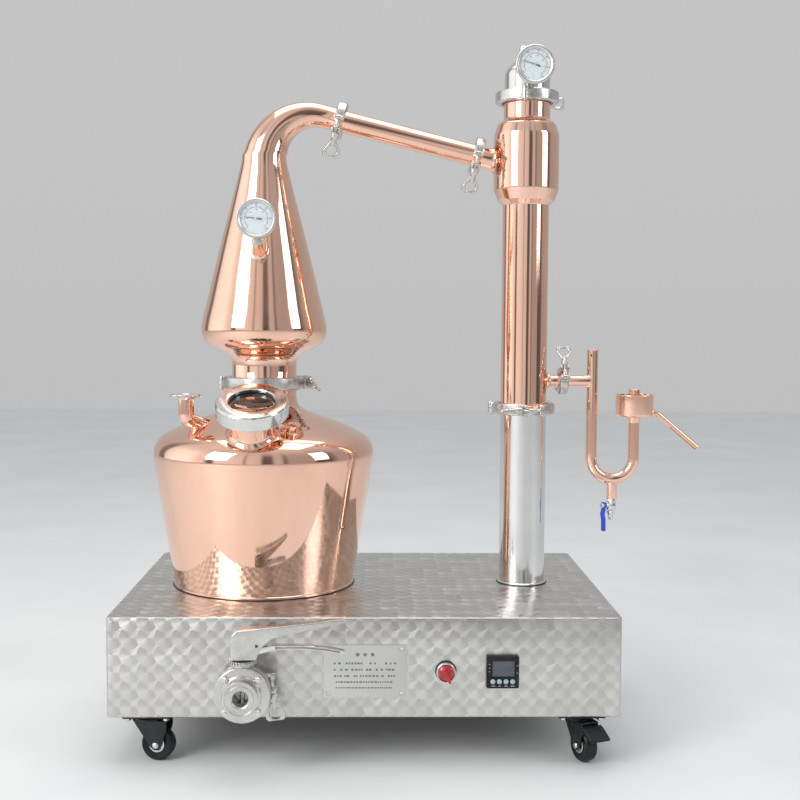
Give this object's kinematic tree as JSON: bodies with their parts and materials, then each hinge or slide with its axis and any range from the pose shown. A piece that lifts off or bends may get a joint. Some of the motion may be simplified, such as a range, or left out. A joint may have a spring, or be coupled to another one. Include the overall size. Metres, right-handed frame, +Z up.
{
  "type": "alembic still",
  "caption": "Copper pot still on a wheeled stainless base: onion head with swan neck, sloping lyne arm, upright condenser, parrot, drain valve and dial thermometers.",
  "frame": {"origin": "on the floor, under the middle of the whole outline", "axes": "+Z up; -Y is the front with the controls and the drain valve; +X runs from the pot to the condenser and the parrot"},
  "size_m": [0.935, 0.6194, 1.106],
  "materials": {
    "copper": "mirror polished copper",
    "perlage_steel": "stainless sheet with overlapping circular brushing",
    "polished_steel": "polished stainless steel",
    "cast_steel": "cast stainless steel, lightly polished",
    "satin_steel": "satin stainless steel",
    "black_steel": "black painted steel",
    "tyre": "black polyurethane",
    "black_plastic": "black moulded plastic",
    "grey_plastic": "grey translucent plastic",
    "red_plastic": "red moulded plastic",
    "blue_plastic": "blue dipped vinyl sleeve",
    "glass": "clear toughened glass",
    "pointer_paint": "black painted aluminium"
  },
  "bodies": {
    "frame": {"base_cabinet": "perlage_steel", "nameplate": "satin_steel", "selector_bezel": "polished_steel", "controller_case": "black_plastic", "service_plate": "polished_steel", "caster_plate_front_left": "black_steel", "caster_plate_front_right": "black_steel", "caster_plate_rear_left": "black_steel", "caster_plate_rear_right": "black_steel", "pot": "copper", "sight_glass_ring": "polished_steel", "sight_glass_pane": "glass", "heating_element": "satin_steel", "drain_pipe": "polished_steel", "pot_clamp_band": "cast_steel", "swan_neck_head": "copper", "head_thermometer": "satin_steel", "head_clamp_band": "cast_steel", "lyne_arm": "copper", "lyne_clamp_band": "cast_steel", "condenser_column": "copper", "cooling_coil": "copper", "column_cap": "polished_steel", "cap_thermometer": "satin_steel", "cap_clamp_band": "cast_steel", "column_stand": "polished_steel", "column_clamp_band": "cast_steel", "outlet_clamp_band": "cast_steel", "parrot": "copper", "parrot_valve_body": "polished_steel", "drain_valve_body": "polished_steel", "drain_clamp_band": "cast_steel"},
    "fork_front_left": {"caster_fork_front_left": "black_steel"},
    "wheel_front_left": {"caster_wheel_front_left": "tyre"},
    "fork_front_right": {"caster_fork_front_right": "black_steel"},
    "wheel_front_right": {"caster_wheel_front_right": "tyre"},
    "fork_rear_left": {"caster_fork_rear_left": "black_steel"},
    "wheel_rear_left": {"caster_wheel_rear_left": "tyre"},
    "fork_rear_right": {"caster_fork_rear_right": "black_steel"},
    "wheel_rear_right": {"caster_wheel_rear_right": "tyre"},
    "pedal_front_right": {"caster_pedal_front_right": "black_plastic"},
    "pedal_rear_left": {"caster_pedal_rear_left": "black_plastic"},
    "selector_knob": {"selector_knob": "red_plastic"},
    "button_1": {"controller_button_1": "grey_plastic"},
    "button_2": {"controller_button_2": "grey_plastic"},
    "button_3": {"controller_button_3": "grey_plastic"},
    "button_4": {"controller_button_4": "grey_plastic"},
    "head_pointer": {"head_pointer": "pointer_paint"},
    "cap_pointer": {"cap_pointer": "pointer_paint"},
    "parrot_valve_lever": {"parrot_valve_lever": "blue_plastic"},
    "drain_handle": {"drain_valve_handle": "polished_steel", "drain_valve_disc": "polished_steel"},
    "drain_trigger": {"drain_valve_trigger": "polished_steel"},
    "pot_screw": {"pot_clamp_screw": "cast_steel"},
    "head_screw": {"head_clamp_screw": "cast_steel"},
    "lyne_screw": {"lyne_clamp_screw": "cast_steel"},
    "cap_screw": {"cap_clamp_screw": "cast_steel"},
    "column_screw": {"column_clamp_screw": "cast_steel"},
    "outlet_screw": {"outlet_clamp_screw": "cast_steel"},
    "drain_screw": {"drain_clamp_screw": "cast_steel"}
  },
  "joints": [
    {"name": "swivel_front_left", "type": "hinge", "parent": "frame", "child": "fork_front_left", "pos_m": [-0.41048, -0.1867, 0.062], "axis": [0, 0, 1], "continuous": true},
    {"name": "spin_front_left", "type": "hinge", "parent": "fork_front_left", "child": "wheel_front_left", "pos_m": [-0.3958, -0.18982, 0.02462], "axis": [0.2079, 0.9781, 0], "continuous": true},
    {"name": "swivel_front_right", "type": "hinge", "parent": "frame", "child": "fork_front_right", "pos_m": [0.23552, -0.1867, 0.062], "axis": [0, 0, 1], "continuous": true},
    {"name": "spin_front_right", "type": "hinge", "parent": "fork_front_right", "child": "wheel_front_right", "pos_m": [0.24114, -0.20061, 0.02462], "axis": [0.9272, 0.3746, 0], "continuous": true},
    {"name": "swivel_rear_left", "type": "hinge", "parent": "frame", "child": "fork_rear_left", "pos_m": [-0.41048, 0.2453, 0.062], "axis": [0, 0, 1], "continuous": true},
    {"name": "spin_rear_left", "type": "hinge", "parent": "fork_rear_left", "child": "wheel_rear_left", "pos_m": [-0.39819, 0.2539, 0.02462], "axis": [-0.5736, 0.8192, 0], "continuous": true},
    {"name": "swivel_rear_right", "type": "hinge", "parent": "frame", "child": "fork_rear_right", "pos_m": [0.23552, 0.2453, 0.062], "axis": [0, 0, 1], "continuous": true},
    {"name": "spin_rear_right", "type": "hinge", "parent": "fork_rear_right", "child": "wheel_rear_right", "pos_m": [0.22143, 0.25043, 0.02462], "axis": [-0.342, -0.9397, 0], "continuous": true},
    {"name": "brake_front_right", "type": "hinge", "parent": "fork_front_right", "child": "pedal_front_right", "pos_m": [0.24583, -0.2122, 0.0555], "axis": [0.9272, 0.3746, 0], "range_deg": [0, 7]},
    {"name": "brake_rear_left", "type": "hinge", "parent": "fork_rear_left", "child": "pedal_rear_left", "pos_m": [-0.38795, 0.26107, 0.0555], "axis": [-0.5736, 0.8192, 0], "range_deg": [0, 7]},
    {"name": "selector_turn", "type": "hinge", "parent": "frame", "child": "selector_knob", "pos_m": [0.03152, -0.2207, 0.142], "axis": [0, 1, 0], "range_deg": [-90, 0]},
    {"name": "button_1_press", "type": "slide", "parent": "frame", "child": "button_1", "axis": [0, 1, 0], "range_m": [0, 0.001], "stiffness_N_per_m": 500, "springref_m": -0.001},
    {"name": "button_2_press", "type": "slide", "parent": "frame", "child": "button_2", "axis": [0, 1, 0], "range_m": [0, 0.001], "stiffness_N_per_m": 500, "springref_m": -0.001},
    {"name": "button_3_press", "type": "slide", "parent": "frame", "child": "button_3", "axis": [0, 1, 0], "range_m": [0, 0.001], "stiffness_N_per_m": 500, "springref_m": -0.001},
    {"name": "button_4_press", "type": "slide", "parent": "frame", "child": "button_4", "axis": [0, 1, 0], "range_m": [0, 0.001], "stiffness_N_per_m": 500, "springref_m": -0.001},
    {"name": "head_pointer_turn", "type": "hinge", "parent": "frame", "child": "head_pointer", "pos_m": [-0.25748, -0.09683, 0.812], "axis": [0, 1, 0], "range_deg": [-40, 210]},
    {"name": "cap_pointer_turn", "type": "hinge", "parent": "frame", "child": "cap_pointer", "pos_m": [0.17552, -0.0327, 1.062], "axis": [0, 1, 0], "range_deg": [-40, 210]},
    {"name": "parrot_valve_turn", "type": "hinge", "parent": "frame", "child": "parrot_valve_lever", "pos_m": [0.3094, 0.0223, 0.352], "axis": [-0.866, -0.5, 0], "range_deg": [0, 90]},
    {"name": "drain_valve_turn", "type": "hinge", "parent": "frame", "child": "drain_handle", "pos_m": [-0.26148, -0.2787, 0.177], "axis": [0, 0, 1], "range_deg": [-90, 0]},
    {"name": "drain_trigger_squeeze", "type": "hinge", "parent": "drain_handle", "child": "drain_trigger", "pos_m": [-0.24848, -0.2787, 0.186], "axis": [0, -1, 0], "range_deg": [0, 5], "stiffness_Nm_per_rad": 1.5, "springref_deg": -3.44},
    {"name": "pot_screw_swing", "type": "hinge", "parent": "frame", "child": "pot_screw", "pos_m": [-0.18906, 0.06036, 0.554], "axis": [0, 0, 1], "range_deg": [0, 95]},
    {"name": "head_screw_swing", "type": "hinge", "parent": "frame", "child": "head_screw", "pos_m": [-0.13434, -0.01094, 0.98173], "axis": [-0.9711, 0, 0.2385], "range_deg": [0, 95]},
    {"name": "lyne_screw_swing", "type": "hinge", "parent": "frame", "child": "lyne_screw", "pos_m": [0.09096, -0.01094, 0.92639], "axis": [-0.9711, 0, 0.2385], "range_deg": [0, 95]},
    {"name": "cap_screw_swing", "type": "hinge", "parent": "frame", "child": "cap_screw", "pos_m": [0.17118, 0.09068, 1.022], "axis": [0, 0, 1], "range_deg": [0, 95]},
    {"name": "column_screw_swing", "type": "hinge", "parent": "frame", "child": "column_screw", "pos_m": [0.19428, -0.02811, 0.5135], "axis": [0, 0, 1], "range_deg": [0, 95]},
    {"name": "outlet_screw_swing", "type": "hinge", "parent": "frame", "child": "outlet_screw", "pos_m": [0.23752, -0.00181, 0.56708], "axis": [1, 0, 0], "range_deg": [0, 95]},
    {"name": "drain_screw_swing", "type": "hinge", "parent": "frame", "child": "drain_screw", "pos_m": [-0.22411, -0.2472, 0.14199], "axis": [0, -1, 0], "range_deg": [0, 95]}
  ]
}
